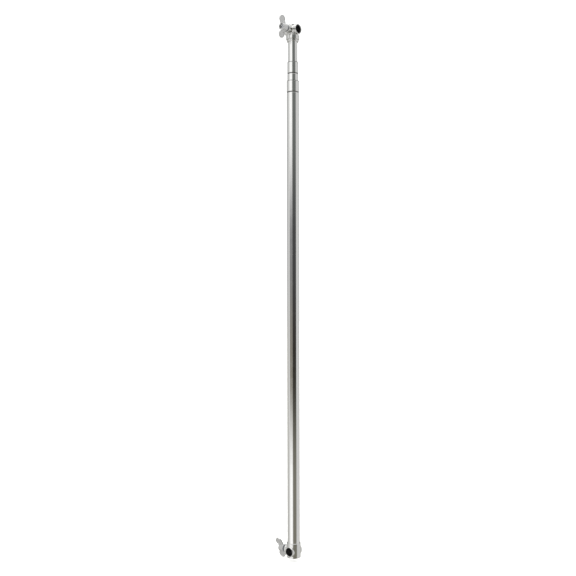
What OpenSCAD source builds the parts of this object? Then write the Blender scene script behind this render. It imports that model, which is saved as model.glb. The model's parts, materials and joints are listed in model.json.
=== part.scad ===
// Telescopic window security bar: three chromed tubes with twist locks inside,
// and a cross socket with a wing screw at each end.
// Z runs up the bar. The origin is the centre of the lower socket, on the bar's axis.

/* [Tubes] */
// Outside diameter of the outer tube
outer_d = 25; // [20:0.5:40]
// Wall of the outer tube
outer_wall = 0.8; // [0.6:0.1:1.2]
// Length of the outer tube
outer_len = 931.2; // [300:1:2000]
// Wall of the middle tube
middle_wall = 0.8; // [0.6:0.1:1.2]
// Length of middle tube that shows when the bar is closed
middle_show = 36.9; // [10:1:120]
// Wall of the inner tube
inner_wall = 0.8; // [0.6:0.1:1.2]
// Length of inner tube that shows when the bar is closed
inner_show = 40.6; // [10:1:120]
// Distance of the rolled groove below a tube's mouth
groove_drop = 22.3; // [12:0.5:40]
// Depth of the rolled groove
groove_depth = 0.4; // [0.2:0.05:0.5]
// Radius of the rolling tool that leaves the groove
groove_tool_r = 3; // [2:0.5:5]
// Thickness of the bush's lip on a tube's mouth
bush_lip = 0.8; // [0.5:0.1:2]
// Wall of the bush's sleeve between two tubes
bush_wall = 0.6; // [0.4:0.1:1.2]

/* [Twist locks] */
// Length of plug inside its tube
plug_depth = 35; // [20:1:60]
// Height of the guide ring
guide_h = 9; // [5:0.5:15]
// Height of the flange between guide ring and cam ring
flange_h = 3; // [2:0.5:6]
// Gap between that flange and the tube around it
flange_gap = 0.7; // [0.5:0.1:1.5]
// Height of the cam ring
cam_h = 14; // [8:0.5:25]
// Offset of the plug's cam journal from the bar's axis
cam_offset = 1; // [0.6:0.1:1.5]
// Gap between the cam ring and the tube it locks in
cam_gap = 0.3; // [0.2:0.05:0.5]
// Material left around the cam journal by the cam ring
cam_ring_wall = 4.35; // [3:0.05:5]
// Width of the cam ring's split
cam_split = 2; // [1:0.5:4]
// Wall of the guide ring
guide_wall = 3; // [2:0.1:4]
// Number of grease flutes around the guide ring
guide_flutes = 6; // [3:1:8]
// Radius of those flutes
guide_flute_r = 0.9; // [0.5:0.1:1.2]
// Wall of the plug's hollow upper end
plug_wall = 3; // [2:0.1:4]
// Diameter of the screw that holds the cam ring
lock_screw_d = 4; // [3:0.5:5]
// Length of that screw's shank
lock_screw_len = 14; // [8:1:20]
// Height of that screw's flat head
lock_head_h = 2.4; // [1.5:0.1:4]
// Reach of that head past the cam journal
lock_head_lip = 2; // [1:0.1:2.5]
// Rounding of that head's edges
lock_head_edge = 0.6; // [0.3:0.1:0.7]
// Length of the cross slot in that head
slot_len = 4.4; // [3:0.1:5]
// Width of the cross slot
slot_w = 0.8; // [0.6:0.1:1.2]
// Depth of the cross slot
slot_depth = 1.3; // [0.6:0.1:1.4]
// Diameter of the pin that holds a plug in its tube
plug_pin_d = 3; // [2:0.5:4]
// Height of that pin above the tube's end
plug_pin_rise = 20; // [10:1:30]

/* [Sockets] */
// Bore of both cross sockets
socket_d = 14.6; // [12:0.1:25]
// Wall of the socket's liner
liner_wall = 1.1; // [0.8:0.1:3]
// Wall of the cross sleeve around its liner
sleeve_wall = 1.75; // [1.5:0.05:5]
// Reach of the cross sleeve past the barrel on each side
sleeve_reach = 0.95; // [0.5:0.05:5]
// Depth of the liner's ends inside the sleeve's mouths
liner_inset = 0.8; // [0:0.1:3]
// Rounding of the castings' outer edges
cast_edge = 1; // [0.5:0.1:1.2]
// Chamfer of the castings' bored mouths
mouth_ease = 0.6; // [0.2:0.1:1]

/* [Lower head] */
// Wall of the barrel around the outer tube
barrel_wall = 1.7; // [1.5:0.1:6]
// Depth of the barrel's end below the cross sleeve
barrel_cover = 2.8; // [0.1:0.1:15]
// Floor between the socket and the end of the outer tube
lower_floor = 2.6; // [1:0.1:6]
// Depth of the barrel's cup around the outer tube
cup_depth = 5.7; // [4:0.1:30]
// Length of the spigot inside the outer tube
lower_spigot = 34; // [20:1:80]

/* [Upper head] */
// Wall of the collar around the ferrule's sleeve
collar_wall = 2.8; // [1.5:0.1:8]
// Height of the collar
collar_h = 9; // [7:0.1:25]
// Depth of the inner tube's end below the collar's top
seat_drop = 0.7; // [0.3:0.1:2]
// Floor between the end of the inner tube and the socket
upper_floor = 2.8; // [1:0.1:6]
// Step from the inner tube out to the upright core
core_step = 0.8; // [0.1:0.1:3]
// Height of the core's top above the liner
core_cover = 2.15; // [0.85:0.05:8]
// Length of the spigot inside the inner tube
upper_spigot = 34; // [20:1:80]
// Wall of the ferrule's lip
lip_wall = 2.3; // [1.6:0.1:8]
// Height of the ferrule's lip
ferrule_lip = 4.4; // [2:0.1:10]
// Depth of the ferrule's top end below the inner tube's end
ferrule_drop = 3.1; // [1:0.1:3.5]
// Wall of the ferrule's sleeve
ferrule_wall = 1.1; // [0.8:0.1:2]

/* [Spigots and rivets] */
// Wall of the hollow spigots
spigot_wall = 3; // [2:0.1:4]
// Solid length at the root of the hollow spigots
spigot_root = 2; // [1:0.5:6]
// Diameter of the rivets that hold the tubes to the heads
rivet_d = 3.2; // [2.4:0.1:4]
// Diameter of the rivets' domed heads
rivet_head_d = 6.4; // [5:0.1:8]
// Height of the rivets' domed heads
rivet_head_h = 1.3; // [0.8:0.1:2]
// Swelling of the rivets' blind ends
rivet_swell = 1.2; // [0.6:0.1:1.6]
// Height of the rivets' blind ends
rivet_blind_h = 1.6; // [1:0.1:1.8]
// Distance of the lower rivet above the barrel's rim
lower_rivet_rise = 9; // [5:0.5:15]
// Distance of the upper rivet above the collar's lower edge
upper_rivet_rise = 3.4; // [3:0.1:5]

/* [Wing screws] */
// Diameter of the screw's thread
thread_d = 8; // [6:0.5:10]
// Depth of the turned-down tip's step
tip_step = 1; // [0.5:0.1:1.5]
// Reach of the screw's boss past the barrel's side
boss_step = 5.75; // [3:0.05:15]
// Diameter of the boss
boss_d = 16; // [13:0.5:20]
// Rounding of the boss's edge
boss_edge = 0.8; // [0.3:0.1:1.5]
// Gap between the boss and the washer when the screw is open
screw_gap = 2.4; // [1:0.1:6]
// Thickness of the washer
washer_t = 1; // [0.6:0.1:2]
// Diameter of the washer
washer_d = 15.6; // [12:0.1:20]
// Diameter of the wing's hub at its foot
hub_d = 15.5; // [12:0.5:20]
// Diameter of the wing's hub at its end
hub_end_d = 14; // [11:0.1:18]
// Height of the hub
hub_h = 12; // [10:0.5:14]
// Width across both lobes
wing_span = 45; // [40:1:60]
// Height of the lobes' tips above the hub's foot
wing_rise = 18; // [16:0.5:22]
// Radius of a lobe's tip
lobe_r = 7.5; // [6:0.5:8]
// Thickness of a lobe
lobe_t = 3.4; // [2.5:0.1:5]
// Swelling of a lobe's thickness towards its root
lobe_swell = 0.8; // [0:0.1:2]
// Radius of a lobe's root at the hub's foot
root_r = 3; // [2:0.1:4]
// Radius of a lobe's root at the hub's end
root_end_r = 2.4; // [1.5:0.1:3]
// Distance of a lobe's root from the hub's ends
root_gap = 0.5; // [0.2:0.1:1]
// Rim around the dish of a lobe
lobe_rim = 1.5; // [0.8:0.1:2.5]
// Depth of the dish in each face of a lobe
dish_depth = 0.6; // [0.2:0.1:1]
// Rim around the recess in the hub's end
hub_rim = 2; // [0.8:0.1:2.2]
// Depth of the recess in the hub's end
recess_depth = 4; // [1:0.5:5]
// Diameter of the pressure pad
pad_d = 9; // [6:0.5:12]
// Thickness of the pressure pad
pad_t = 3; // [2:0.1:5]
// Rounding of the pad's edges
pad_edge = 0.4; // [0.1:0.1:0.8]
// Distance from the socket's wall to the pad when the screw is open
pad_inset = 0.3; // [0.1:0.1:1]
// Room behind the pad for opening the screw further
pad_room = 2; // [1:0.1:4]
// Axial play of the pad on the stud's tip
pad_play = 0.3; // [0.1:0.1:0.6]
// Angle of the lower wing about its screw
lower_wing_turn = -22; // [-90:1:90]
// Angle of the upper wing about its screw
upper_wing_turn = -3; // [-90:1:90]

/* [Fits] */
// Radial clearance of sliding and turning fits
run_gap = 0.05; // [0.03:0.01:0.1]
// Axial play of the rings on a plug
end_play = 0.2; // [0.1:0.1:0.5]
// Gap left below each closed stage
stop_gap = 0.5; // [0.2:0.1:5]

/* [Hidden] */
$fn = 96;
cut = 0.1; // how far a cutting shape runs past the face it opens

// Each tube slides in a bush in the tube around it
outer_bore_r = outer_d / 2 - outer_wall;
middle_d = 2 * (outer_bore_r - bush_wall - 2 * run_gap);
middle_bore_r = middle_d / 2 - middle_wall;
inner_d = 2 * (middle_bore_r - bush_wall - 2 * run_gap);
inner_bore_r = inner_d / 2 - inner_wall;

// Radii of the two castings and of the ferrule between the upper one and its tube
housing_r = socket_d / 2 + liner_wall + run_gap;
barrel_r = outer_d / 2 + run_gap + barrel_wall;
sleeve_r = housing_r + sleeve_wall;
sleeve_half = max(barrel_r, sleeve_r) + sleeve_reach;
core_r = inner_d / 2 + core_step;
ferrule_bore_r = inner_d / 2 + run_gap;
ferrule_r = ferrule_bore_r + ferrule_wall;
lip_r = ferrule_bore_r + lip_wall;
collar_r = ferrule_r + run_gap + collar_wall;
tube_seat = collar_h - seat_drop;
ferrule_top = tube_seat - ferrule_drop;

// Heights along the bar, from the lower socket up
lower_seat_z = housing_r + lower_floor;
rim_z = lower_seat_z + cup_depth;
outer_mouth_z = lower_seat_z + outer_len;
lower_spigot_z = lower_seat_z + lower_spigot;
middle_mouth_z = outer_mouth_z + bush_lip + middle_show;
collar_z = middle_mouth_z + bush_lip + inner_show + ferrule_lip;
upper_seat_z = collar_z + tube_seat;
upper_socket_z = upper_seat_z + upper_floor + housing_r;
upper_spigot_z = upper_seat_z - upper_spigot;

// The stack of rings and screw head below each plug
guide_stack = guide_h + 2 * end_play;
cam_stack = cam_h + 2 * end_play;
lock_stack = guide_stack + flange_h + cam_stack + lock_head_h;
middle_end_z = lower_spigot_z + stop_gap + lock_stack;
inner_end_z = middle_end_z + plug_depth + stop_gap + lock_stack;

// Distances out from the bar's axis along a wing screw
pad_face = socket_d / 2 + pad_inset;
pocket_end = pad_face + pad_t + pad_room;
pad_r = pad_d / 2;
pad_hole_r = pad_r + run_gap;
boss_reach = max(barrel_r, sleeve_r) + boss_step;
washer_foot = boss_reach + screw_gap;
hub_foot = washer_foot + washer_t;
stud_tip = pad_face + pad_t / 2;
stud_end = hub_foot + hub_h - recess_depth;
recess_r = hub_end_d / 2 - hub_rim;
tip_r = thread_d / 2 - tip_step;

// Half the height of the ridge that a rolled groove raises inside a tube
function ridge_half(wall) =
    sqrt(pow(groove_tool_r + wall, 2) - pow(groove_tool_r + wall - groove_depth, 2));

// ---------- shapes that repeat ----------

// A round bar along Z with rounded edges at its two ends
module rounded_bar(r, z0, z1, edge) {
    rotate_extrude()
        union() {
            translate([0, z0]) square([r - edge, z1 - z0]);
            translate([0, z0 + edge]) square([r, z1 - z0 - 2 * edge]);
            for (z = [z0 + edge, z1 - edge])
                translate([r - edge, z]) circle(r = edge);
        }
}

// A ring along Z
module ring(r_out, r_in, z0, z1) {
    translate([0, 0, z0])
        difference() {
            cylinder(r = r_out, h = z1 - z0);
            translate([0, 0, -cut]) cylinder(r = r_in, h = z1 - z0 + 2 * cut);
        }
}

// A tube with a rolled groove below its mouth; the groove's ridge inside is the next tube's stop
module grooved_tube(d, wall, z0, mouth) {
    r = d / 2;
    centre = r + groove_tool_r - groove_depth;
    rotate_extrude()
        translate([0, mouth - groove_drop])
            difference() {
                union() {
                    translate([r - wall, z0 - mouth + groove_drop]) square([wall, mouth - z0]);
                    intersection() {
                        translate([centre, 0]) circle(r = groove_tool_r + wall);
                        translate([r - wall - groove_depth, -groove_tool_r])
                            square([groove_depth + wall / 2, 2 * groove_tool_r]);
                    }
                }
                translate([centre, 0]) circle(r = groove_tool_r);
            }
}

// The bush in a tube's mouth: a thin sleeve down to the groove's ridge, and a lip on the mouth
module mouth_bush(d, wall, sliding_d, mouth) {
    sleeve = groove_drop - ridge_half(wall) - end_play;
    ring(d / 2 - wall - run_gap, sliding_d / 2 + run_gap, mouth - sleeve, mouth + cut);
    ring(d / 2, sliding_d / 2 + run_gap, mouth, mouth + bush_lip);
}

// A plug in a tube's lower end, with a neck for the guide ring and an offset journal for the cam
module lock_plug(bore_r, rail_r, end_z, neck_r, journal_r) {
    flange_top = end_z - guide_stack;
    flange_foot = flange_top - flange_h;
    journal_foot = flange_foot - cam_stack;
    difference() {
        union() {
            rounded_bar(bore_r - run_gap, end_z, end_z + plug_depth, cast_edge);
            translate([0, 0, flange_top - cut]) cylinder(r = neck_r, h = guide_stack + 2 * cut + cast_edge);
            translate([0, 0, flange_foot]) cylinder(r = rail_r - flange_gap, h = flange_h);
            translate([cam_offset, 0, journal_foot]) cylinder(r = journal_r, h = cam_stack + cut);
        }
        translate([cam_offset, 0, journal_foot - cut])
            cylinder(r = lock_screw_d / 2 + run_gap, h = lock_screw_len + 2 * cut);
        translate([0, 0, end_z + plug_pin_rise]) rotate([0, 90, 0])
            cylinder(r = plug_pin_d / 2 + run_gap, h = 2 * (bore_r + cut), center = true);
        translate([0, 0, end_z + plug_pin_rise + plug_pin_d])
            cylinder(r = bore_r - plug_wall, h = plug_depth);
    }
}

// The ring that keeps a stage in line and stops it at the groove of the tube around it
module guide_ring(rail_r, neck_r, end_z) {
    foot = end_z - guide_stack + end_play;
    difference() {
        ring(rail_r - run_gap, neck_r + run_gap, foot, foot + guide_h);
        for (i = [1 : guide_flutes])
            rotate([0, 0, i * 360 / guide_flutes]) translate([rail_r, 0, foot - cut])
                cylinder(r = guide_flute_r, h = guide_h + 2 * cut);
    }
}

// The split ring that jams in the tube around it when the plug's offset journal turns inside it
module cam_ring(rail_r, journal_r, end_z) {
    foot = end_z - guide_stack - flange_h - cam_stack + end_play;
    translate([0, 0, foot])
        difference() {
            cylinder(r = rail_r - cam_gap, h = cam_h);
            translate([cam_offset, 0, -cut]) cylinder(r = journal_r + run_gap, h = cam_h + 2 * cut);
            translate([cam_offset, -cam_split / 2, -cut]) cube([rail_r, cam_split, cam_h + 2 * cut]);
        }
}

// The screw whose wide flat head keeps the cam ring on its journal
module lock_screw(journal_r, end_z) {
    head_top = end_z - lock_stack + lock_head_h;
    translate([cam_offset, 0, head_top])
        difference() {
            union() {
                cylinder(d = lock_screw_d, h = lock_screw_len);
                rounded_bar(journal_r + lock_head_lip, -lock_head_h, 0, lock_head_edge);
            }
            for (a = [0, 90])
                rotate([0, 0, a]) translate([-slot_len / 2, -slot_w / 2, -lock_head_h - cut])
                    cube([slot_len, slot_w, slot_depth + cut]);
        }
}

module plug_pin(d, end_z) {
    translate([0, 0, end_z + plug_pin_rise]) rotate([0, 90, 0])
        cylinder(d = plug_pin_d, h = d - 2 * run_gap, center = true);
}

// Places a shape drawn along +Z, with +X up the bar, on the lower head's screw (which points to -X)
module on_lower_screw() {
    rotate([0, -90, 0]) children();
}

// The same for the upper head's screw (which points to -Y)
module on_upper_screw() {
    translate([0, 0, upper_socket_z]) rotate([90, 0, 0]) rotate([0, 0, 90]) children();
}

// The cross sleeve's outside, drawn along Z
module sleeve_body() {
    rounded_bar(sleeve_r, -sleeve_half, sleeve_half, cast_edge);
}

// What is cut out of a cross sleeve: the liner's housing, with an eased edge at each mouth
module sleeve_bore() {
    cylinder(r = housing_r, h = 2 * (sleeve_half + cut), center = true);
    for (s = [0, 1])
        mirror([0, 0, s]) translate([0, 0, sleeve_half - mouth_ease])
            cylinder(r1 = housing_r, r2 = housing_r + mouth_ease + cut, h = mouth_ease + cut);
}

// What is cut out of a boss: the pad's pocket and the tapped hole behind it
module screw_bore() {
    cylinder(r = pad_hole_r, h = pocket_end);
    tap_r = thread_d / 2 + run_gap;
    cylinder(r = tap_r, h = boss_reach + cut);
    translate([0, 0, boss_reach - mouth_ease])
        cylinder(r1 = tap_r, r2 = tap_r + mouth_ease + cut, h = mouth_ease + cut);
}

// The boss that the screw is tapped into
module boss_body() {
    rounded_bar(boss_d / 2, 0, boss_reach, boss_edge);
}

// A socket's liner, drawn along Z
module liner_body() {
    half = sleeve_half - liner_inset;
    ring(socket_d / 2 + liner_wall, socket_d / 2, -half, half);
}

module pad_body() {
    difference() {
        rounded_bar(pad_r, pad_face, pad_face + pad_t, pad_edge);
        translate([0, 0, stud_tip - run_gap]) cylinder(r = tip_r + run_gap, h = pad_t);
    }
}

// The threaded stud, with a turned-down tip that the pad snaps on
module stud_body() {
    shank = pad_face + pad_t + pad_play;
    translate([0, 0, stud_tip]) cylinder(r = tip_r, h = pad_t);
    translate([0, 0, shank]) cylinder(d = thread_d, h = stud_end - shank);
}

module washer_body() {
    ring(washer_d / 2, thread_d / 2 + run_gap, washer_foot, hub_foot);
}

// The cast wing: a tapered hub and two lobes that lean outwards, dished on both faces
module wing_body(turn) {
    tip_x = wing_span / 2 - lobe_r;
    tip_z = wing_rise - lobe_r;
    root_x = hub_end_d / 4;
    translate([0, 0, hub_foot]) rotate([0, 0, turn])
        difference() {
            union() {
                cylinder(d1 = hub_d, d2 = hub_end_d, h = hub_h);
                for (s = [0, 1])
                    mirror([s, 0, 0]) hull() {
                        translate([tip_x, 0, tip_z]) rotate([90, 0, 0])
                            cylinder(r = lobe_r, h = lobe_t, center = true, $fn = 48);
                        translate([root_x, 0, root_r + root_gap]) rotate([90, 0, 0])
                            cylinder(r = root_r, h = lobe_t + lobe_swell, center = true, $fn = 32);
                        translate([root_x, 0, hub_h - root_end_r - root_gap]) rotate([90, 0, 0])
                            cylinder(r = root_end_r, h = lobe_t + lobe_swell, center = true, $fn = 32);
                    }
            }
            translate([0, 0, -cut]) cylinder(r = thread_d / 2 + run_gap, h = hub_h + 2 * cut);
            translate([0, 0, hub_h - recess_depth]) cylinder(r = recess_r, h = recess_depth + wing_rise);
            for (s = [-1, 1])
                for (f = [-90, 90])
                    translate([s * tip_x, 0, tip_z]) rotate([f, 0, 0])
                        translate([0, 0, lobe_t / 2 - dish_depth])
                            cylinder(r = lobe_r - lobe_rim, h = dish_depth + lobe_swell);
        }
}

// A rivet drawn along Z: domed head outside, shank, and the bulb it forms on the blind side
module rivet_body(skin, hollow_r) {
    dome_r = (pow(rivet_head_d / 2, 2) + pow(rivet_head_h, 2)) / (2 * rivet_head_h);
    blind = sqrt(pow(hollow_r, 2) - pow(bulb_r, 2)) - run_gap;
    translate([0, 0, blind - rivet_blind_h]) cylinder(r = bulb_r, h = rivet_blind_h);
    translate([0, 0, blind - cut]) cylinder(d = rivet_d, h = skin - blind + 2 * cut);
    intersection() {
        translate([0, 0, skin + rivet_head_h - dome_r]) sphere(r = dome_r);
        translate([0, 0, skin]) cylinder(d = rivet_head_d, h = rivet_head_h);
    }
}

module rivet_hole(skin) {
    cylinder(d = rivet_d + 2 * run_gap, h = skin + 2 * rivet_head_h);
}

// Places a rivet drawn along Z so that its head is on the bar's +Y side
module on_back(z) {
    translate([0, 0, z]) rotate([-90, 0, 0]) children();
}

lower_rivet_z = rim_z + lower_rivet_rise;
bulb_r = (rivet_d + rivet_swell) / 2;
upper_rivet_z = collar_z + upper_rivet_rise;
middle_neck_r = outer_bore_r - run_gap - guide_wall;
inner_neck_r = middle_bore_r - run_gap - guide_wall;
middle_journal_r = outer_bore_r - cam_gap - cam_ring_wall - run_gap;
inner_journal_r = middle_bore_r - cam_gap - cam_ring_wall - run_gap;

// ---------- outer tube and lower head ----------

module outer_tube() {
    color("silver")
        difference() {
            grooved_tube(outer_d, outer_wall, lower_seat_z, outer_mouth_z);
            on_back(lower_rivet_z) rivet_hole(outer_d / 2);
        }
}

module outer_bush() {
    color("dimgray") mouth_bush(outer_d, outer_wall, middle_d, outer_mouth_z);
}

module lower_head() {
    spigot_r = outer_bore_r - run_gap;
    color("gainsboro")
        difference() {
            union() {
                rounded_bar(barrel_r, -sleeve_r - barrel_cover, rim_z, cast_edge);
                rotate([90, 0, 0]) sleeve_body();
                on_lower_screw() boss_body();
                rounded_bar(spigot_r, 0, lower_spigot_z, cast_edge);
            }
            rotate([90, 0, 0]) sleeve_bore();
            on_lower_screw() screw_bore();
            ring(outer_d / 2 + run_gap, spigot_r, lower_seat_z, rim_z + cut);
            translate([0, 0, lower_seat_z + spigot_root])
                cylinder(r = spigot_r - spigot_wall, h = lower_spigot);
            on_back(lower_rivet_z) rivet_hole(outer_d / 2);
        }
}

module lower_liner() {
    color("black")
        difference() {
            rotate([90, 0, 0]) liner_body();
            on_lower_screw() cylinder(r = pad_hole_r, h = pocket_end);
        }
}

module lower_rivet() {
    color("silver") on_back(lower_rivet_z) rivet_body(outer_d / 2, outer_bore_r - run_gap - spigot_wall);
}

module lower_pad() {
    color("black") on_lower_screw() pad_body();
}

module lower_stud() {
    color("darkgray") on_lower_screw() stud_body();
}

module lower_washer() {
    color("silver") on_lower_screw() washer_body();
}

module lower_wing() {
    color("gainsboro") on_lower_screw() wing_body(lower_wing_turn);
}

// ---------- middle stage ----------

module middle_tube() {
    color("silver")
        difference() {
            grooved_tube(middle_d, middle_wall, middle_end_z, middle_mouth_z);
            translate([0, 0, middle_end_z + plug_pin_rise]) rotate([0, 90, 0])
                cylinder(r = plug_pin_d / 2 + run_gap, h = middle_d + 2 * cut, center = true);
        }
}

module middle_bush() {
    color("dimgray") mouth_bush(middle_d, middle_wall, inner_d, middle_mouth_z);
}

module middle_plug() {
    color("dimgray") lock_plug(middle_bore_r, outer_bore_r, middle_end_z, middle_neck_r, middle_journal_r);
}

module middle_plug_pin() {
    color("silver") plug_pin(middle_d, middle_end_z);
}

module middle_guide_ring() {
    color("white") guide_ring(outer_bore_r, middle_neck_r, middle_end_z);
}

module middle_cam_ring() {
    color("ivory") cam_ring(outer_bore_r, middle_journal_r, middle_end_z);
}

module middle_lock_screw() {
    color("silver") lock_screw(middle_journal_r, middle_end_z);
}

// ---------- inner stage and upper head ----------

module inner_tube() {
    color("silver")
        difference() {
            ring(inner_d / 2, inner_bore_r, inner_end_z, upper_seat_z);
            translate([0, 0, inner_end_z + plug_pin_rise]) rotate([0, 90, 0])
                cylinder(r = plug_pin_d / 2 + run_gap, h = inner_d + 2 * cut, center = true);
            on_back(upper_rivet_z) rivet_hole(inner_d / 2);
        }
}

module inner_plug() {
    color("dimgray") lock_plug(inner_bore_r, middle_bore_r, inner_end_z, inner_neck_r, inner_journal_r);
}

module inner_plug_pin() {
    color("silver") plug_pin(inner_d, inner_end_z);
}

module inner_guide_ring() {
    color("white") guide_ring(middle_bore_r, inner_neck_r, inner_end_z);
}

module inner_cam_ring() {
    color("ivory") cam_ring(middle_bore_r, inner_journal_r, inner_end_z);
}

module inner_lock_screw() {
    color("silver") lock_screw(inner_journal_r, inner_end_z);
}

module upper_head() {
    spigot_r = inner_bore_r - run_gap;
    color("gainsboro")
        difference() {
            union() {
                rounded_bar(core_r, collar_z + cast_edge, upper_socket_z + housing_r + core_cover, boss_edge);
                translate([0, 0, upper_socket_z]) rotate([0, 90, 0]) sleeve_body();
                rounded_bar(collar_r, collar_z, collar_z + collar_h, cast_edge);
                on_upper_screw() boss_body();
                rounded_bar(spigot_r, upper_spigot_z, upper_socket_z, cast_edge);
            }
            translate([0, 0, upper_socket_z]) rotate([0, 90, 0]) sleeve_bore();
            on_upper_screw() screw_bore();
            ring(ferrule_bore_r, spigot_r, collar_z - cut, upper_seat_z);
            ring(ferrule_r + run_gap, spigot_r, collar_z - cut, collar_z + ferrule_top + end_play);
            translate([0, 0, upper_spigot_z - cut])
                cylinder(r = spigot_r - spigot_wall, h = upper_spigot - spigot_root + cut);
            on_back(upper_rivet_z) rivet_hole(collar_r);
        }
}

module upper_ferrule() {
    color("silver")
        difference() {
            union() {
                rounded_bar(lip_r, collar_z - ferrule_lip, collar_z, cast_edge);
                translate([0, 0, collar_z - cast_edge]) cylinder(r = lip_r, h = cast_edge);
                translate([0, 0, collar_z - cut]) cylinder(r = ferrule_r, h = ferrule_top + cut);
            }
            translate([0, 0, collar_z - ferrule_lip - cut])
                cylinder(r = ferrule_bore_r, h = ferrule_lip + ferrule_top + 2 * cut);
            on_back(upper_rivet_z) rivet_hole(collar_r);
        }
}

module upper_liner() {
    color("black")
        difference() {
            translate([0, 0, upper_socket_z]) rotate([0, 90, 0]) liner_body();
            on_upper_screw() cylinder(r = pad_hole_r, h = pocket_end);
        }
}

module upper_rivet() {
    color("silver") on_back(upper_rivet_z) rivet_body(collar_r, inner_bore_r - run_gap - spigot_wall);
}

module upper_pad() {
    color("black") on_upper_screw() pad_body();
}

module upper_stud() {
    color("darkgray") on_upper_screw() stud_body();
}

module upper_washer() {
    color("silver") on_upper_screw() washer_body();
}

module upper_wing() {
    color("gainsboro") on_upper_screw() wing_body(upper_wing_turn);
}

outer_tube();
outer_bush();
lower_head();
lower_liner();
lower_rivet();
lower_pad();
lower_stud();
lower_washer();
lower_wing();
middle_tube();
middle_bush();
middle_plug();
middle_plug_pin();
middle_guide_ring();
middle_cam_ring();
middle_lock_screw();
inner_tube();
inner_plug();
inner_plug_pin();
inner_guide_ring();
inner_cam_ring();
inner_lock_screw();
upper_head();
upper_ferrule();
upper_liner();
upper_rivet();
upper_pad();
upper_stud();
upper_washer();
upper_wing();
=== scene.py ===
"""Telescopic window security bar: chromed tubes, cast cross sockets and wing screws.

Laid out as a Blender add-on and run as a script. All sizes are in metres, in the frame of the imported
model: Z runs up the bar, and the origin is the centre of the lower socket.
"""

import json
import math

import bmesh
import bpy
from bpy.props import FloatProperty, FloatVectorProperty, IntProperty, PointerProperty
from mathutils import Matrix, Vector


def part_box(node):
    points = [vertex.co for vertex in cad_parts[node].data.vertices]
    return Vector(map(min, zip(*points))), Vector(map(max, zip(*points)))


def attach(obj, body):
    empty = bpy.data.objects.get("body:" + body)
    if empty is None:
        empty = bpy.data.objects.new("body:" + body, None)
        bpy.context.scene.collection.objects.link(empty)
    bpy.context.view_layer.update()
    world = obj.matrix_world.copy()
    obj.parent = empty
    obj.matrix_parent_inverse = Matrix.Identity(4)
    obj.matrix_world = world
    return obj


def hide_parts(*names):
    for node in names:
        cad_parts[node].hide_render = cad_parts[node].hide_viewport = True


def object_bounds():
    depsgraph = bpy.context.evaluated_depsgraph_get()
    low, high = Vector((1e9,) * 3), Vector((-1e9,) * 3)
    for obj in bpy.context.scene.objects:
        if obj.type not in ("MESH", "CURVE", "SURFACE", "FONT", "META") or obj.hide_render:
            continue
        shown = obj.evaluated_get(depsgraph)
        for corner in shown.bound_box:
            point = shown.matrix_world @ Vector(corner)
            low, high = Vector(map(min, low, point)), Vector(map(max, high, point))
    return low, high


bl_info = {
    "name": "Window security bar",
    "version": (1, 0, 0),
    "blender": (4, 5, 0),
    "location": "View3D > Sidebar > Security bar",
    "description": "Builds a telescopic window security bar around its packed frame",
    "category": "Object",
}

MM = 0.001
TURN = 2 * math.pi

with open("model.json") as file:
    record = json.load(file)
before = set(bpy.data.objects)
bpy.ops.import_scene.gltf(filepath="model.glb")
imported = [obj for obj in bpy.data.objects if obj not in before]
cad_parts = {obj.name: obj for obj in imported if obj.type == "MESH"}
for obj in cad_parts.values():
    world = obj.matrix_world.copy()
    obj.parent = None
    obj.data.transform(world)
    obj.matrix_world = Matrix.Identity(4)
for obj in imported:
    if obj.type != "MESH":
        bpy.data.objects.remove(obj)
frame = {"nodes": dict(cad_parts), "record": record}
CAD_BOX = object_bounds()
MOUNTS = {mount["name"]: mount for mount in frame["record"]["mounts"]}
BODY_OF = {node: body for body, nodes in frame["record"]["behaviour"]["bodies"].items() for node in nodes}
SLOT_OF = {part["node"]: part["material_slot"] for part in frame["record"]["subparts"]}
UPPER_SOCKET_Z = MOUNTS["upper_socket"]["pos_m"][2]

MERGE_WITHIN = 0.0005 * MM
RUNNING_GAP = 0.05 * MM
EDGE_STEPS = 4
GROOVE_STEPS = 12
# Brightness out of 255 up to which the surroundings take their full tint, and from which they take none.
FULL_TINT_LEVEL = 100
NO_TINT_LEVEL = 200
# How bright painted shade leaves the chrome at the middle of a rolled groove, as a share of unshaded chrome.
GROOVE_SHADE_LEVEL = 0.06


def linear(hex_colour):
    """An sRGB hex colour, such as c8c8c6, as linear red, green and blue."""
    values = [int(hex_colour[i : i + 2], 16) / 255 for i in (0, 2, 4)]
    return tuple(v / 12.92 if v <= 0.04045 else ((v + 0.055) / 1.055) ** 2.4 for v in values)


# ---------- what a user would change ----------


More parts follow.
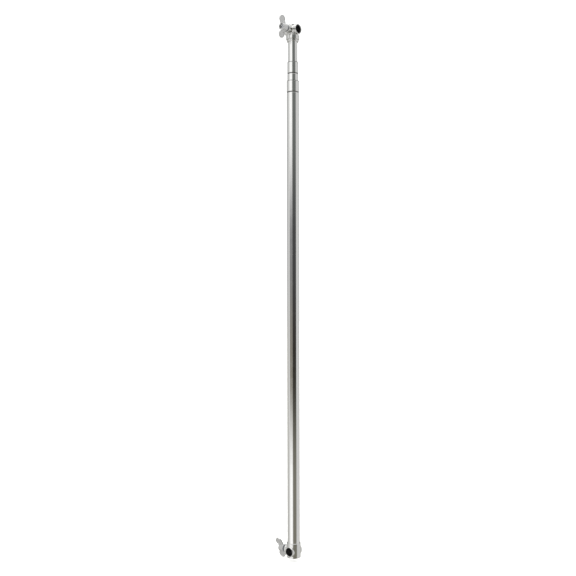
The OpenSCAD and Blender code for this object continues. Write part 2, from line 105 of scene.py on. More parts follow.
class BarSizes(bpy.types.PropertyGroup):
    """Sizes of the bar's finer forms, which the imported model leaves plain"""

    tube_wall: FloatProperty(
        name="Tube wall", description="Wall of all three tubes", default=0.8 * MM, unit="LENGTH"
    )
    groove_drop: FloatProperty(
        name="Groove drop", description="Rolled groove below a tube's mouth", default=22.3 * MM, unit="LENGTH"
    )
    groove_depth: FloatProperty(
        name="Groove depth", description="Depth of the rolled groove", default=0.4 * MM, unit="LENGTH"
    )
    groove_tool: FloatProperty(
        name="Groove tool", description="Radius of the groove's rolling tool", default=3 * MM, unit="LENGTH"
    )
    mouth_round: FloatProperty(
        name="Mouth rounding", description="Rounding of a tube's cut end", default=0.25 * MM, unit="LENGTH"
    )
    thread_pitch: FloatProperty(
        name="Thread pitch", description="Pitch of the wing screws", default=1.25 * MM, unit="LENGTH"
    )
    thread_depth: FloatProperty(
        name="Thread depth", description="Depth of the wing screws' thread", default=0.68 * MM, unit="LENGTH"
    )
    cast_grain: FloatProperty(
        name="Casting mesh", description="Mesh size of the castings", default=0.36 * MM, unit="LENGTH"
    )
    wing_grain: FloatProperty(
        name="Wing mesh", description="Mesh size of the wings", default=0.24 * MM, unit="LENGTH"
    )
    round_steps: IntProperty(
        name="Edge rounding", description="Smoothing passes over a casting's edges", default=7, min=0, max=30
    )
    tube_sides: IntProperty(
        name="Tube sides", description="Segments around a tube", default=160, min=24, max=512
    )


class BarColours(bpy.types.PropertyGroup):
    """Colours of the bar's materials"""

    chrome: FloatVectorProperty(
        name="Chrome", description="Chrome plate on the tubes", default=linear("e2e2e0"), subtype="COLOR"
    )
    casting: FloatVectorProperty(
        name="Castings",
        description="Bright chrome plate on the heads",
        default=linear("dadad8"),
        subtype="COLOR",
    )
    wing: FloatVectorProperty(
        name="Wings", description="Satin chrome plate on the wings", default=linear("cfcfce"), subtype="COLOR"
    )
    zinc: FloatVectorProperty(
        name="Zinc plate", description="Screws, washers and pins", default=linear("c4c7cc"), subtype="COLOR"
    )
    nylon: FloatVectorProperty(
        name="Nylon", description="Liners and bushes", default=linear("1b1b1c"), subtype="COLOR"
    )
    rubber: FloatVectorProperty(
        name="Rubber", description="Pressure pads", default=linear("202021"), subtype="COLOR"
    )
    plug: FloatVectorProperty(
        name="Plugs", description="Lock plugs", default=linear("3a3b3d"), subtype="COLOR"
    )
    acetal: FloatVectorProperty(
        name="Acetal", description="Guide rings and cam rings", default=linear("e9e8e0"), subtype="COLOR"
    )


class StageSettings(bpy.types.PropertyGroup):
    """Where the camera stands, and the floor"""

    azimuth: FloatProperty(
        name="Azimuth", description="Camera's turn about the bar", default=math.radians(39.5), subtype="ANGLE"
    )
    distance: FloatProperty(name="Distance", description="Camera to the bar", default=1.65, unit="LENGTH")
    height: FloatProperty(
        name="Height", description="Camera above the lower socket", default=0.5275, unit="LENGTH"
    )
    aside: FloatProperty(
        name="Aside", description="Camera's step to the left of the bar", default=0.0104, unit="LENGTH"
    )
    lens: FloatProperty(name="Lens", description="Focal length on a 36 mm sensor, in mm", default=51.3)
    roll: FloatProperty(
        name="Roll",
        description="Lean of the bar in the picture",
        default=math.radians(-0.11),
        subtype="ANGLE",
    )
    floor: FloatVectorProperty(
        name="Floor", description="Matt painted floor", default=linear("f4f4f3"), subtype="COLOR"
    )


# ---------- meshes ----------


def new_piece(bm, name, node, material):
    """Makes a finished mesh a piece that stands for a CAD node and moves with that node's body."""
    mesh = bpy.data.meshes.new(name)
    bm.to_mesh(mesh)
    bm.free()
    mesh.materials.append(material)
    mesh.shade_smooth()
    mesh.set_sharp_from_angle(angle=math.radians(32))
    piece = bpy.data.objects.new(name, mesh)
    bpy.context.scene.collection.objects.link(piece)
    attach(piece, BODY_OF[node])
    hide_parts(node)
    return piece


def merged_copy(node):
    """A bmesh of a CAD node with its loose triangles merged."""
    bm = bmesh.new()
    bm.from_mesh(frame["nodes"][node].data)
    bmesh.ops.remove_doubles(bm, verts=bm.verts, dist=MERGE_WITHIN)
    return bm


def arc(centre, radius, start, end, steps):
    """Points on an arc in the XZ plane, from the start angle to the end angle."""
    angles = [start + (end - start) * i / steps for i in range(steps + 1)]
    return [(centre[0] + radius * math.cos(a), centre[1] + radius * math.sin(a)) for a in angles]


def spun(outline, sides):
    """Turns a closed outline of (radius, height) points once around Z, faces outwards."""
    bm = bmesh.new()
    points = [bm.verts.new((radius, 0, height)) for radius, height in outline]
    for first, second in zip(points, points[1:] + points[:1]):
        bm.edges.new((first, second))
    bmesh.ops.spin(
        bm,
        geom=bm.verts[:] + bm.edges[:],
        cent=(0, 0, 0),
        axis=(0, 0, 1),
        angle=TURN,
        steps=sides,
        use_merge=True,
    )
    bmesh.ops.remove_doubles(bm, verts=bm.verts, dist=MERGE_WITHIN)
    bmesh.ops.recalc_face_normals(bm, faces=bm.faces)
    return bm


def softened(bm, grain, steps):
    """Remeshes a closed shape at an even grain and smooths it, as casting and tumbling round its edges."""
    mesh = bpy.data.meshes.new("softening")
    bm.to_mesh(mesh)
    bm.free()
    carrier = bpy.data.objects.new("softening", mesh)
    bpy.context.scene.collection.objects.link(carrier)
    remesh = carrier.modifiers.new("even grain", "REMESH")
    remesh.mode = "VOXEL"
    remesh.voxel_size = grain
    evaluated = carrier.evaluated_get(bpy.context.evaluated_depsgraph_get())
    soft = bmesh.new()
    soft.from_mesh(evaluated.to_mesh())
    bpy.data.objects.remove(carrier)
    bpy.data.meshes.remove(mesh)
    for _ in range(steps):
        bmesh.ops.smooth_vert(
            soft, verts=soft.verts, factor=0.5, use_axis_x=True, use_axis_y=True, use_axis_z=True
        )
    return soft


def on_lower_screw():
    """Turns a shape drawn along +Z onto the lower wing screw, which points to -X."""
    return Matrix.Rotation(-TURN / 4, 4, "Y")


def on_upper_screw():
    """Turns a shape drawn along +Z onto the upper wing screw, which points to -Y."""
    turn = Matrix.Rotation(TURN / 4, 4, "X") @ Matrix.Rotation(TURN / 4, 4, "Z")
    return Matrix.Translation((0, 0, UPPER_SOCKET_Z)) @ turn


SCREW_PLACES = {"lower": (on_lower_screw, 0), "upper": (on_upper_screw, 1)}


def reach(node):
    """How far along its wing screw's outward axis a node starts and ends."""
    low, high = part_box(node)
    axis = SCREW_PLACES[node.split("_")[0]][1]
    return -high[axis], -low[axis]


# ---------- materials ----------


def add_node(tree, kind, settings=None, inputs=None):
    """Adds a node, sets its properties, and sets or links its inputs."""
    node = tree.nodes.new(kind)
    for key, value in (settings or {}).items():
        setattr(node, key, value)
    for key, value in (inputs or {}).items():
        if isinstance(value, bpy.types.NodeSocket):
            tree.links.new(value, node.inputs[key])
        else:
            node.inputs[key].default_value = value
    return node


def start_material(name):
    """An empty node material with its shader, its output and its object coordinates."""
    material = bpy.data.materials.get(name)
    if material:
        return material, None, None, None
    material = bpy.data.materials.new(name)
    material.use_nodes = True
    tree = material.node_tree
    tree.nodes.clear()
    shader = add_node(tree, "ShaderNodeBsdfPrincipled")
    add_node(tree, "ShaderNodeOutputMaterial", inputs={"Surface": shader.outputs["BSDF"]})
    place = add_node(tree, "ShaderNodeTexCoord").outputs["Object"]
    return material, tree, shader, place


def per_metre(millimetres):
    """The noise scale whose features are that many millimetres across."""
    return 1 / (millimetres * MM)


def chromed_tube_steel(colours):
    """Steel tube, drawn, polished and bright chrome plated.

    Polishing leaves hair-fine lines along the tube that draw reflections out lengthwise, and handling
    leaves faint dull patches some 15 mm across. Painted shade darkens each rolled groove.
    """
    material, tree, shader, place = start_material("Chrome plate on drawn steel tube")
    if not tree:
        return material
    along = add_node(tree, "ShaderNodeMapping", inputs={"Vector": place, "Scale": (1, 1, 0.012)})
    # Real polishing lines are near 0.05 mm apart; drawn at 0.5 mm so that they show.
    lines = add_node(
        tree,
        "ShaderNodeTexNoise",
        inputs={"Vector": along.outputs["Vector"], "Scale": per_metre(0.5), "Detail": 3.0, "Roughness": 0.6},
    )
    hand = add_node(
        tree,
        "ShaderNodeTexNoise",
        inputs={"Vector": place, "Scale": per_metre(15), "Detail": 4.0, "Roughness": 0.62},
    )
    dull = add_node(
        tree,
        "ShaderNodeMapRange",
        inputs={
            "Value": hand.outputs["Fac"],
            "From Min": 0.4,
            "From Max": 0.75,
            "To Min": 0.05,
            "To Max": 0.12,
        },
    )
    streak = add_node(
        tree,
        "ShaderNodeMapRange",
        inputs={
            "Value": lines.outputs["Fac"],
            "From Min": 0.3,
            "From Max": 0.8,
            "To Min": 0.0,
            "To Max": 0.05,
        },
    )
    rough = add_node(
        tree,
        "ShaderNodeMath",
        {"operation": "ADD"},
        {0: dull.outputs["Result"], 1: streak.outputs["Result"]},
    )
    tone = add_node(
        tree,
        "ShaderNodeMix",
        {"data_type": "RGBA"},
        {
            "Factor": lines.outputs["Fac"],
            "A": (*colours.chrome, 1),
            "B": (*[c * 0.93 for c in colours.chrome], 1),
        },
    )
    bump = add_node(
        tree,
        "ShaderNodeBump",
        inputs={"Strength": 0.12, "Distance": 0.01 * MM, "Height": lines.outputs["Fac"]},
    )
    # Painted shade: the groove's colour is pulled down towards near-black chrome, in place of the groove's
    # own shading.
    painted_groove_shade = add_node(tree, "ShaderNodeAttribute", {"attribute_name": "painted_groove_shade"}).outputs["Fac"]
    groove_shaded = add_node(
        tree,
        "ShaderNodeMix",
        {"data_type": "RGBA"},
        {
            "Factor": painted_groove_shade,
            "A": tone.outputs["Result"],
            "B": (*[c * GROOVE_SHADE_LEVEL for c in colours.chrome], 1),
        },
    )
    shader.inputs["Metallic"].default_value = 1
    tree.links.new(groove_shaded.outputs["Result"], shader.inputs["Base Color"])
    tree.links.new(rough.outputs[0], shader.inputs["Roughness"])
    tree.links.new(bump.outputs["Normal"], shader.inputs["Normal"])
    return material


def zinc_casting(name, colour, smooth, dull):
    """Die-cast zinc alloy under chrome plate whose roughness runs from smooth to dull.

    The die's skin shows as a shallow orange peel about 1.5 mm across, with fine grit in it, and the
    edges are brighter where handling has polished them.
    """
    material, tree, shader, place = start_material(name)
    if not tree:
        return material
    peel = add_node(
        tree,
        "ShaderNodeTexNoise",
        inputs={"Vector": place, "Scale": per_metre(1.5), "Detail": 2.0, "Roughness": 0.5},
    )
    grit = add_node(
        tree,
        "ShaderNodeTexNoise",
        inputs={"Vector": place, "Scale": per_metre(0.3), "Detail": 3.0, "Roughness": 0.65},
    )
    worn = add_node(tree, "ShaderNodeNewGeometry")
    edge = add_node(
        tree,
        "ShaderNodeMapRange",
        inputs={"Value": worn.outputs["Pointiness"], "From Min": 0.51, "From Max": 0.58},
    )
    skin = add_node(
        tree,
        "ShaderNodeMapRange",
        inputs={
            "Value": peel.outputs["Fac"],
            "From Min": 0.3,
            "From Max": 0.7,
            "To Min": smooth,
            "To Max": dull,
        },
    )
    rough = add_node(
        tree,
        "ShaderNodeMix",
        inputs={"Factor": edge.outputs["Result"], "A": skin.outputs["Result"], "B": 0.75 * smooth},
    )
    tone = add_node(
        tree,
        "ShaderNodeMix",
        {"data_type": "RGBA"},
        {
            "Factor": grit.outputs["Fac"],
            "A": (*[c * 0.9 for c in colour], 1),
            "B": (*[min(1, c * 1.05) for c in colour], 1),
        },
    )
    bright = add_node(
        tree,
        "ShaderNodeMix",
        {"data_type": "RGBA"},
        {
            "Factor": edge.outputs["Result"],
            "A": tone.outputs["Result"],
            "B": (*[min(1, c * 1.15) for c in colour], 1),
        },
    )
    coarse = add_node(
        tree,
        "ShaderNodeBump",
        inputs={"Strength": 0.25, "Distance": 0.06 * MM, "Height": peel.outputs["Fac"]},
    )
    fine = add_node(
        tree,
        "ShaderNodeBump",
        inputs={
            "Strength": 0.2,
            "Distance": 0.02 * MM,
            "Height": grit.outputs["Fac"],
            "Normal": coarse.outputs["Normal"],
        },
    )
    shader.inputs["Metallic"].default_value = 1
    tree.links.new(bright.outputs["Result"], shader.inputs["Base Color"])
    tree.links.new(rough.outputs["Result"], shader.inputs["Roughness"])
    tree.links.new(fine.outputs["Normal"], shader.inputs["Normal"])
    return material


def zinc_plated_steel(colours):
    """Steel, turned or rolled and bright zinc plated.

    Zinc plate is a cool grey with soft crystals about 0.8 mm across that vary its shine.
    """
    material, tree, shader, place = start_material("Bright zinc plate on rolled steel")
    if not tree:
        return material
    crystals = add_node(
        tree, "ShaderNodeTexVoronoi", inputs={"Vector": place, "Scale": per_metre(0.8), "Randomness": 1.0}
    )
    cloud = add_node(
        tree, "ShaderNodeTexNoise", inputs={"Vector": place, "Scale": per_metre(4), "Detail": 3.0}
    )
    rough = add_node(
        tree,
        "ShaderNodeMapRange",
        inputs={
            "Value": cloud.outputs["Fac"],
            "From Min": 0.3,
            "From Max": 0.7,
            "To Min": 0.22,
            "To Max": 0.38,
        },
    )
    tone = add_node(
        tree,
        "ShaderNodeMix",
        {"data_type": "RGBA"},
        {
            "Factor": crystals.outputs["Distance"],
            "A": (*colours.zinc, 1),
            "B": (*[c * 0.8 for c in colours.zinc], 1),
        },
    )
    bump = add_node(
        tree,
        "ShaderNodeBump",
        inputs={"Strength": 0.2, "Distance": 0.02 * MM, "Height": cloud.outputs["Fac"]},
    )
    shader.inputs["Metallic"].default_value = 1
    tree.links.new(tone.outputs["Result"], shader.inputs["Base Color"])
    tree.links.new(rough.outputs["Result"], shader.inputs["Roughness"])
    tree.links.new(bump.outputs["Normal"], shader.inputs["Normal"])
    return material


def moulded_plastic(name, colour, roughness, grain_mm, depth_mm, ior):
    """A moulded plastic or rubber: its mould's spark-eroded grain breaks up the shine a little."""
    material, tree, shader, place = start_material(name)
    if not tree:
        return material
    grain = add_node(
        tree,
        "ShaderNodeTexNoise",
        inputs={"Vector": place, "Scale": per_metre(grain_mm), "Detail": 4.0, "Roughness": 0.7},
    )
    rough = add_node(
        tree,
        "ShaderNodeMapRange",
        inputs={
            "Value": grain.outputs["Fac"],
            "From Min": 0.3,
            "From Max": 0.7,
            "To Min": roughness - 0.07,
            "To Max": roughness + 0.07,
        },
    )
    tone = add_node(
        tree,
        "ShaderNodeMix",
        {"data_type": "RGBA"},
        {"Factor": grain.outputs["Fac"], "A": (*[c * 0.85 for c in colour], 1), "B": (*colour, 1)},
    )
    bump = add_node(
        tree,
        "ShaderNodeBump",
        inputs={"Strength": 0.3, "Distance": depth_mm * MM, "Height": grain.outputs["Fac"]},
    )
    shader.inputs["IOR"].default_value = ior
    tree.links.new(tone.outputs["Result"], shader.inputs["Base Color"])
    tree.links.new(rough.outputs["Result"], shader.inputs["Roughness"])
    tree.links.new(bump.outputs["Normal"], shader.inputs["Normal"])
    return material


def material_for(node):
    """The material of a node's slot."""
    colours = bpy.context.scene.bar_colours
    slot = SLOT_OF[node]
    if slot == "chromed_tube":
        return chromed_tube_steel(colours)
    if node.endswith("_wing"):
        # Tumbled after casting and plated dull: it spreads reflections into a soft, pale grey.
        return zinc_casting("Satin chrome plate on tumbled zinc die casting", colours.wing, 0.24, 0.36)
    if slot == "zinc_casting":
        # Buffed before plating: it mirrors the studio almost as sharply as the tubes do.
        return zinc_casting("Bright chrome plate on buffed zinc die casting", colours.casting, 0.08, 0.15)
    if slot in ("zinc_plated_steel", "steel_rivet"):
        return zinc_plated_steel(colours)
    if slot == "black_nylon":
        # Nylon 6, injection moulded: nearly black, with a dull satin skin.
        return moulded_plastic("Moulded black nylon", colours.nylon, 0.42, 0.4, 0.02, 1.53)
    if slot == "black_rubber":
        # Nitrile rubber, compression moulded: black and matt, with a faint bloom.
        return moulded_plastic("Moulded nitrile rubber", colours.rubber, 0.75, 0.6, 0.03, 1.52)
    if slot == "plug_plastic":
        # Glass-filled nylon, injection moulded: dark grey, slightly mottled by the fibres at its skin.
        return moulded_plastic("Moulded glass-filled nylon", colours.plug, 0.5, 0.9, 0.03, 1.55)
    if slot == "white_acetal":
        # Acetal, injection moulded: off-white and waxy, and the smoothest of the plastics.
        return moulded_plastic("Moulded acetal", colours.acetal, 0.3, 0.7, 0.01, 1.48)
    raise RuntimeError(f"slot {slot} has no material")


# ---------- pieces ----------


def groove_reach(radius, depth):
    """How far a groove rolled by a tool of that radius reaches above and below its middle."""
    return radius * math.sin(math.acos((radius - depth) / radius))


def tube_outline(sizes, radius, bottom, mouth, grooved):
    """A tube wall's outline, clockwise from its outer foot, with its rolled groove and rounded ends."""
    bore = radius - sizes.tube_wall
    rounding = sizes.mouth_round
    # A ring of faces just past each rounding and groove keeps the long wall's shading straight.
    guard = 0.3 * MM
    outline = arc((radius - rounding, bottom + rounding), rounding, -TURN / 4, 0, EDGE_STEPS)
    outline.append((radius, bottom + rounding + guard))
    tool = sizes.groove_tool
    groove_z = mouth - sizes.groove_drop
    half = math.acos((tool - sizes.groove_depth) / tool)
    centre = (radius + tool - sizes.groove_depth, groove_z)
    reach_z = groove_reach(tool, sizes.groove_depth)
    if grooved:
        outline += [(radius, groove_z - reach_z - 2 * guard), (radius, groove_z - reach_z - guard)]
        outline += arc(centre, tool, TURN / 2 + half, TURN / 2 - half, GROOVE_STEPS)
        outline += [(radius, groove_z + reach_z + guard), (radius, groove_z + reach_z + 2 * guard)]
    outline.append((radius, mouth - rounding - guard))
    outline += arc((radius - rounding, mouth - rounding), rounding, 0, TURN / 4, EDGE_STEPS)
    outline += arc((bore + rounding, mouth - rounding), rounding, TURN / 4, TURN / 2, EDGE_STEPS)
    outline.append((bore, mouth - rounding - guard))
    if grooved:
        ridge = tool + sizes.tube_wall
        half = math.acos((ridge - sizes.groove_depth) / ridge)
        reach_z = groove_reach(ridge, sizes.groove_depth)
        outline.append((bore, groove_z + reach_z + guard))
        outline += arc(centre, ridge, TURN / 2 - half, TURN / 2 + half, GROOVE_STEPS)
        outline.append((bore, groove_z - reach_z - guard))
    outline.append((bore, bottom + rounding + guard))
    outline += arc((bore + rounding, bottom + rounding), rounding, TURN / 2, 3 * TURN / 4, EDGE_STEPS)
    return outline


def mark_painted_groove_shade(bm, middle, reach_z):
    """Marks how much painted shade darkens each vertex: most in the groove's middle, none past its edges."""
    layer = bm.verts.layers.float.new("painted_groove_shade")
    for vert in bm.verts:
        vert[layer] = max(0.0, 1 - ((vert.co.z - middle) / reach_z) ** 2)


def bush_outline(sizes, node, mouth):
    """A mouth bush's outline: a thin sleeve in the tube and a rounded lip on its mouth."""
    low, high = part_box(node)
    lip = high.x
    sleeve = lip - sizes.tube_wall - RUNNING_GAP
    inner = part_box("middle_tube")[1].x if node == "outer_bush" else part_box("inner_tube")[1].x
    inner += RUNNING_GAP
    rounding = 0.25 * MM
    outline = [(inner, low.z), (sleeve, low.z), (sleeve, mouth), (lip - RUNNING_GAP, mouth)]
    outline += arc((lip - RUNNING_GAP - rounding, high.z - rounding), rounding, 0, TURN / 4, EDGE_STEPS)
    outline += arc((inner + rounding, high.z - rounding), rounding, TURN / 4, TURN / 2, EDGE_STEPS)
    return outline


def thread(sizes, radius, start, end):
    """A rolled thread along Z: one turn's profile, spun upwards, cut off square and closed."""
    pitch = sizes.thread_pitch
    root = radius - sizes.thread_depth
    steps = 40
    turns = math.ceil((end - start) / pitch) + 2
    profile = [(root, 0), (radius, 0.38 * pitch), (radius, 0.5 * pitch), (root, 0.88 * pitch), (root, pitch)]
    bm = bmesh.new()
    points = [bm.verts.new((r, 0, start - pitch + z)) for r, z in profile]
    for first, second in zip(points, points[1:]):
        bm.edges.new((first, second))
    bmesh.ops.spin(
        bm,
        geom=bm.verts[:] + bm.edges[:],
        cent=(0, 0, 0),
        axis=(0, 0, 1),
        dvec=(0, 0, pitch / steps),
        angle=turns * TURN,
        steps=turns * steps,
    )
    bmesh.ops.remove_doubles(bm, verts=bm.verts, dist=0.002 * MM)
    for height, normal in ((start, (0, 0, -1)), (end, (0, 0, 1))):
        bmesh.ops.bisect_plane(
            bm,
            geom=bm.verts[:] + bm.edges[:] + bm.faces[:],
            dist=MERGE_WITHIN,
            plane_co=(0, 0, height),
            plane_no=normal,
            clear_outer=True,
        )
        rim = [
            edge
            for edge in bm.edges
            if edge.is_boundary and all(abs(vert.co.z - height) < 0.002 * MM for vert in edge.verts)
        ]
        bmesh.ops.edgeloop_fill(bm, edges=rim)
    bmesh.ops.recalc_face_normals(bm, faces=bm.faces)
    return bm


def joined(first, second):
    """Adds the second bmesh's shape to the first as a separate closed shell."""
    mesh = bpy.data.meshes.new("joining")
    second.to_mesh(mesh)
    second.free()
    first.from_mesh(mesh)
    bpy.data.meshes.remove(mesh)
    return first


def rounded_disc(inner, outer, low, high, rounding):
    """The outline of a ring or disc with its four edges rounded."""
    outline = arc((outer - rounding, low + rounding), rounding, -TURN / 4, 0, EDGE_STEPS)
    outline += arc((outer - rounding, high - rounding), rounding, 0, TURN / 4, EDGE_STEPS)
    outline += arc((inner + rounding, high - rounding), rounding, TURN / 4, TURN / 2, EDGE_STEPS)
    outline += arc((inner + rounding, low + rounding), rounding, TURN / 2, 3 * TURN / 4, EDGE_STEPS)
    return outline


class BAR_OT_tubes(bpy.types.Operator):
    """Build the three chromed tubes, with their rolled grooves and rounded mouths"""

    bl_idname = "bar.tubes"
    bl_label = "Tubes"

    def execute(self, context):
        sizes = context.scene.bar_sizes
        for node, grooved in (("outer_tube", True), ("middle_tube", True), ("inner_tube", False)):
            low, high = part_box(node)
            outline = tube_outline(sizes, high.x, low.z, high.z, grooved)
            bm = spun(outline, sizes.tube_sides)
            if grooved:
                groove_z = high.z - sizes.groove_drop
                # Painted shade for the rolled groove, strongest in its middle.
                mark_painted_groove_shade(bm, groove_z, groove_reach(sizes.groove_tool, sizes.groove_depth))
            new_piece(bm, "chromed_" + node, node, material_for(node))
        return {"FINISHED"}


class BAR_OT_bushes(bpy.types.Operator):
    """Build the nylon bushes in the tubes' mouths"""

    bl_idname = "bar.bushes"
    bl_label = "Mouth bushes"

    def execute(self, context):
        sizes = context.scene.bar_sizes
        for node, tube in (("outer_bush", "outer_tube"), ("middle_bush", "middle_tube")):
            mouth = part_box(tube)[1].z
            bm = spun(bush_outline(sizes, node, mouth), 96)
            new_piece(bm, "moulded_" + node, node, material_for(node))
        return {"FINISHED"}


class BAR_OT_castings(bpy.types.Operator):
    """Build the two head castings and the ferrule, with rounded cast edges"""

    bl_idname = "bar.castings"
    bl_label = "Head castings"

    def execute(self, context):
        sizes = context.scene.bar_sizes
        for node in ("lower_head", "upper_head", "upper_ferrule"):
            bm = softened(merged_copy(node), sizes.cast_grain, sizes.round_steps)
            new_piece(bm, "cast_" + node, node, material_for(node))
        return {"FINISHED"}


class BAR_OT_wings(bpy.types.Operator):
    """Build the two cast wings with their dished lobes"""

    bl_idname = "bar.wings"
    bl_label = "Wings"

    def execute(self, context):
        sizes = context.scene.bar_sizes
        for node in ("lower_wing", "upper_wing"):
            bm = softened(merged_copy(node), sizes.wing_grain, sizes.round_steps)
            new_piece(bm, "cast_" + node, node, material_for(node))
        return {"FINISHED"}


class BAR_OT_studs(bpy.types.Operator):
    """Build the threaded studs and their washers"""

    bl_idname = "bar.studs"
    bl_label = "Studs and washers"

    def execute(self, context):
        sizes = context.scene.bar_sizes
        for end in ("lower", "upper"):
            place = SCREW_PLACES[end][0]()
            stud = end + "_stud"
            tip, back = reach(stud)
            low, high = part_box(stud)
            radius = (high.z - low.z) / 2
            neck = reach(end + "_pad")[1] + 0.3 * MM
            bm = thread(sizes, radius, neck, back)
            turned_tip = spun([(0, tip), (radius - MM, tip), (radius - MM, neck + MM), (0, neck + MM)], 48)
            bm = joined(bm, turned_tip)
            bmesh.ops.transform(bm, matrix=place, verts=bm.verts)
            new_piece(bm, "threaded_" + stud, stud, material_for(stud))
            washer = end + "_washer"
            near, far = reach(washer)
            low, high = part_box(washer)
            outline = rounded_disc(radius + RUNNING_GAP, (high.z - low.z) / 2, near, far, 0.2 * MM)
            bm = spun(outline, 96)
            bmesh.ops.transform(bm, matrix=place, verts=bm.verts)
            new_piece(bm, "pressed_" + washer, washer, material_for(washer))
        return {"FINISHED"}


class BAR_OT_fittings(bpy.types.Operator):
    """Build the socket liners, the pads and the rivets, with smooth skins"""

    bl_idname = "bar.fittings"
    bl_label = "Liners, pads and rivets"

    def execute(self, context):
        for kind in ("liner", "pad", "rivet"):
            for end in ("lower", "upper"):
                node = f"{end}_{kind}"
                new_piece(merged_copy(node), "fitted_" + node, node, material_for(node))
        return {"FINISHED"}


class BAR_OT_locks(bpy.types.Operator):
    """Build the twist locks inside the tubes, with smooth skins"""

    bl_idname = "bar.locks"
    bl_label = "Twist locks"

    def execute(self, context):
        for stage in ("middle", "inner"):
            for kind in ("plug", "plug_pin", "guide_ring", "cam_ring", "lock_screw"):
                node = f"{stage}_{kind}"
                new_piece(merged_copy(node), "inside_" + node, node, material_for(node))
        return {"FINISHED"}


# ---------- stage ----------

# The studio that the bright tubes mirror, going round from behind the bar: (degrees to the right of the
# camera, brightness out of 255). A name stands for a part whose brightness changes with height.
STUDIO_ROUND = (
    (-180, 170), (-100, 190), (-75, 215), (-60, "panel"), (-20, "panel"), (-5, "room"), (50, "room"),
    (60, 200), (110, 205), (150, 175),
)

# (slope above level, tint of the dark parts, brightness of each named part), from high to low: a white
# panel to the left, lit at its top and foot, and a dark room behind the camera, warmer lower down.
STUDIO_HEIGHTS = (
    (0.22, (0.97, 1, 0.98), {"panel": 255, "room": 110}),
    (0.05, (0.98, 0.98, 1), {"panel": 130, "room": 70}),
    (-0.1, (1, 0.95, 0.84), {"panel": 130, "room": 50}),
    (-0.24, (1, 0.98, 0.88), {"panel": 255, "room": 120}),
)


def tinted(level, tint):
    """A brightness out of 255 as a linear colour, tinted where it is dark."""
    share = min(1, max(0, (NO_TINT_LEVEL - level) / (NO_TINT_LEVEL - FULL_TINT_LEVEL)))
    tone = [((level / 255 * (1 - share * (1 - channel))) + 0.055) / 1.055 for channel in tint]
    return tuple(value**2.4 for value in tone)


def camera_axes(stage):
    """Level directions from the bar towards the camera and to the camera's right."""
    across, along = math.cos(stage.azimuth), math.sin(stage.azimuth)
    return Vector((along, -across, 0)), Vector((across, along, 0))


def build_world(stage):
    """Soft studio surroundings that light the bar; the camera itself sees a plain white backdrop."""
    world = bpy.data.worlds.new("Studio")
    bpy.context.scene.world = world
    world.use_nodes = True
    tree = world.node_tree
    tree.nodes.clear()
    to_camera, to_right = camera_axes(stage)
    direction = add_node(tree, "ShaderNodeTexCoord").outputs["Generated"]
    forward = add_node(
        tree, "ShaderNodeVectorMath", {"operation": "DOT_PRODUCT"}, {0: direction, 1: to_camera}
    ).outputs["Value"]
    right = add_node(
        tree, "ShaderNodeVectorMath", {"operation": "DOT_PRODUCT"}, {0: direction, 1: to_right}
    ).outputs["Value"]
    bearing = add_node(tree, "ShaderNodeMath", {"operation": "ARCTAN2"}, {0: right, 1: forward}).outputs[0]
    around = add_node(
        tree,
        "ShaderNodeMapRange",
        inputs={"Value": bearing, "From Min": -TURN / 2, "From Max": TURN / 2},
    ).outputs["Result"]
    up = add_node(tree, "ShaderNodeSeparateXYZ", inputs={0: direction}).outputs["Z"]
    flat = add_node(
        tree,
        "ShaderNodeVectorMath",
        {"operation": "LENGTH"},
        {0: add_node(
            tree, "ShaderNodeVectorMath", {"operation": "MULTIPLY"}, {0: direction, 1: (1, 1, 0)}
        ).outputs["Vector"]},
    ).outputs["Value"]
    slope = add_node(
        tree,
        "ShaderNodeMath",
        {"operation": "DIVIDE"},
        {0: up, 1: add_node(tree, "ShaderNodeMath", {"operation": "MAXIMUM"}, {0: flat, 1: 0.01}).outputs[0]},
    ).outputs[0]
    colour = None
    above = None
    for height, tint, parts in STUDIO_HEIGHTS:
        stops = [(degrees, parts.get(level, level)) for degrees, level in STUDIO_ROUND]
        ramp = add_node(tree, "ShaderNodeValToRGB", inputs={"Fac": around})
        elements = ramp.color_ramp.elements
        while len(elements) < len(stops):
            elements.new(1.0)
        for element, (degrees, level) in zip(elements, stops):
            element.position = (degrees + 180) / 360
            element.color = (*tinted(level, tint), 1)
        band = ramp.outputs["Color"]
        if colour is None:
            colour = band
        else:
            share = add_node(
                tree,
                "ShaderNodeMapRange",
                {"interpolation_type": "SMOOTHSTEP"},
                {"Value": slope, "From Min": above, "From Max": height},
            ).outputs["Result"]
            colour = add_node(
                tree, "ShaderNodeMix", {"data_type": "RGBA"}, {"Factor": share, "A": colour, "B": band}
            ).outputs["Result"]
        above = height
    ceiling = add_node(
        tree,
        "ShaderNodeMapRange",
        {"interpolation_type": "SMOOTHSTEP"},
        {"Value": slope, "From Min": 0.6, "From Max": 1.6},
    ).outputs["Result"]
    lit = add_node(
        tree,
        "ShaderNodeMix",
        {"data_type": "RGBA"},
        {"Factor": ceiling, "A": colour, "B": (1.3, 1.3, 1.3, 1)},
    ).outputs["Result"]
    seen = add_node(tree, "ShaderNodeLightPath").outputs["Is Camera Ray"]
    shown = add_node(
        tree, "ShaderNodeMix", {"data_type": "RGBA"}, {"Factor": seen, "A": lit, "B": (1, 1, 1, 1)}
    ).outputs["Result"]
    background = add_node(tree, "ShaderNodeBackground", inputs={"Color": shown, "Strength": 1.32})
    add_node(tree, "ShaderNodeOutputWorld", inputs={"Surface": background.outputs[0]})


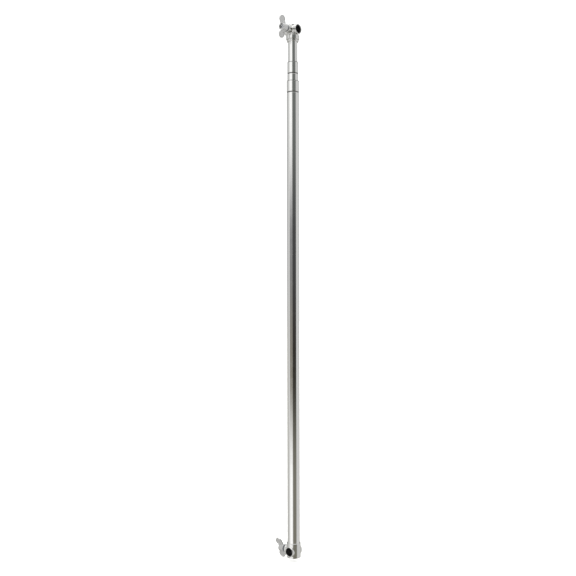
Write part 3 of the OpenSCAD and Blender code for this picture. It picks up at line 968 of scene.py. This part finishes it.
class BAR_OT_stage(bpy.types.Operator):
    """Set the pale floor, the soft studio light and the camera"""

    bl_idname = "bar.stage"
    bl_label = "Stage"

    def execute(self, context):
        scene = context.scene
        stage = scene.bar_stage
        build_world(stage)
        bm = bmesh.new()
        bmesh.ops.create_circle(bm, cap_ends=True, segments=96, radius=12)
        bmesh.ops.translate(bm, verts=bm.verts, vec=(0, 0, CAD_BOX[0][2] - 0.2 * MM))
        mesh = bpy.data.meshes.new("floor")
        bm.to_mesh(mesh)
        bm.free()
        paint, tree, shader, _ = start_material("Matt white floor paint")
        if tree:
            shader.inputs["Base Color"].default_value = (*stage.floor, 1)
            shader.inputs["Roughness"].default_value = 0.8
            shader.inputs["Emission Color"].default_value = (*stage.floor, 1)
            shader.inputs["Emission Strength"].default_value = 0.6
        mesh.materials.append(paint)
        floor = bpy.data.objects.new("floor", mesh)
        floor.visible_glossy = False
        scene.collection.objects.link(floor)
        to_camera, to_right = camera_axes(stage)
        data = bpy.data.cameras.new("camera")
        data.lens = stage.lens
        data.sensor_width = 36
        data.clip_start = 0.05
        data.clip_end = 60
        camera = bpy.data.objects.new("camera", data)
        camera.location = to_camera * stage.distance - to_right * stage.aside + Vector((0, 0, stage.height))
        facing = to_camera.to_track_quat("Z", "Y").to_matrix().to_4x4() @ Matrix.Rotation(stage.roll, 4, "Z")
        camera.rotation_euler = facing.to_euler()
        scene.collection.objects.link(camera)
        scene.camera = camera
        scene.view_settings.view_transform = "Standard"
        return {"FINISHED"}


OPERATORS = (
    BAR_OT_tubes,
    BAR_OT_bushes,
    BAR_OT_castings,
    BAR_OT_wings,
    BAR_OT_studs,
    BAR_OT_fittings,
    BAR_OT_locks,
    BAR_OT_stage,
)


class BAR_PT_panel(bpy.types.Panel):
    """The bar's sizes, colours and pieces"""

    bl_label = "Security bar"
    bl_idname = "BAR_PT_panel"
    bl_space_type = "VIEW_3D"
    bl_region_type = "UI"
    bl_category = "Security bar"

    def draw(self, context):
        scene = context.scene
        for group in (scene.bar_sizes, scene.bar_colours, scene.bar_stage):
            box = self.layout.box()
            for name in group.__annotations__:
                box.prop(group, name)
        for operator in OPERATORS:
            self.layout.operator(operator.bl_idname)


CLASSES = (BarSizes, BarColours, StageSettings, *OPERATORS, BAR_PT_panel)


def register():
    for cls in CLASSES:
        bpy.utils.register_class(cls)
    bpy.types.Scene.bar_sizes = PointerProperty(type=BarSizes)
    bpy.types.Scene.bar_colours = PointerProperty(type=BarColours)
    bpy.types.Scene.bar_stage = PointerProperty(type=StageSettings)


def unregister():
    del bpy.types.Scene.bar_stage
    del bpy.types.Scene.bar_colours
    del bpy.types.Scene.bar_sizes
    for cls in reversed(CLASSES):
        bpy.utils.unregister_class(cls)


def main():
    register()
    bpy.ops.bar.tubes()
    bpy.ops.bar.bushes()
    bpy.ops.bar.castings()
    bpy.ops.bar.wings()
    bpy.ops.bar.studs()
    bpy.ops.bar.fittings()
    bpy.ops.bar.locks()
    bpy.ops.bar.stage()


if __name__ == "__main__":
    main()
